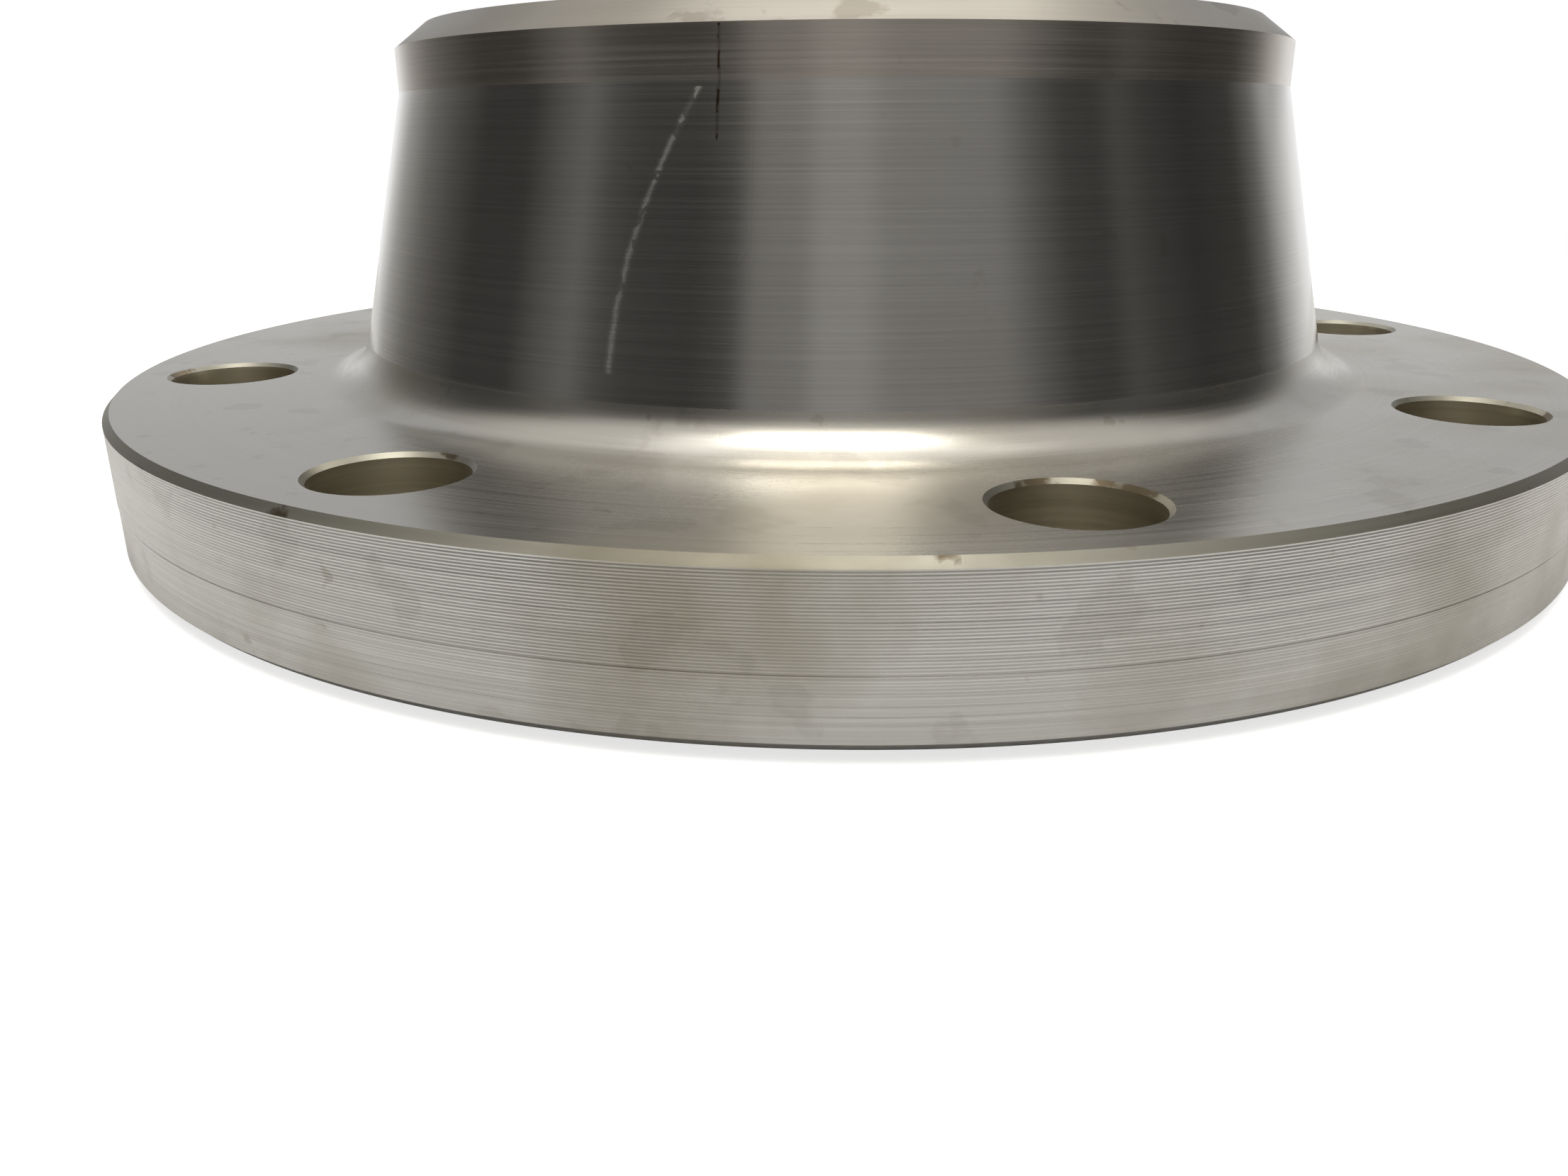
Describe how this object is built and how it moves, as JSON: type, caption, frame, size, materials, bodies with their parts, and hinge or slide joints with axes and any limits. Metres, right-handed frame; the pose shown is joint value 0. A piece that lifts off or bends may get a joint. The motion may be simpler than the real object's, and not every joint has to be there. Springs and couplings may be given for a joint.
{
  "type": "weld neck flange",
  "caption": "Raised-face weld neck pipe flange: a drilled ring with a tapered hub that ends in a bevelled butt-weld end.",
  "frame": {"origin": "centre of the raised gasket face", "axes": "+Z along the bore, from the gasket face to the weld end; the bolt holes straddle the X and Y axes"},
  "size_m": [0.2794, 0.2794, 0.0874],
  "materials": {
    "forged_steel": "turned, with fine concentric tool marks"
  },
  "bodies": {
    "root": {"flange_forging": "forged_steel"}
  },
  "joints": []
}
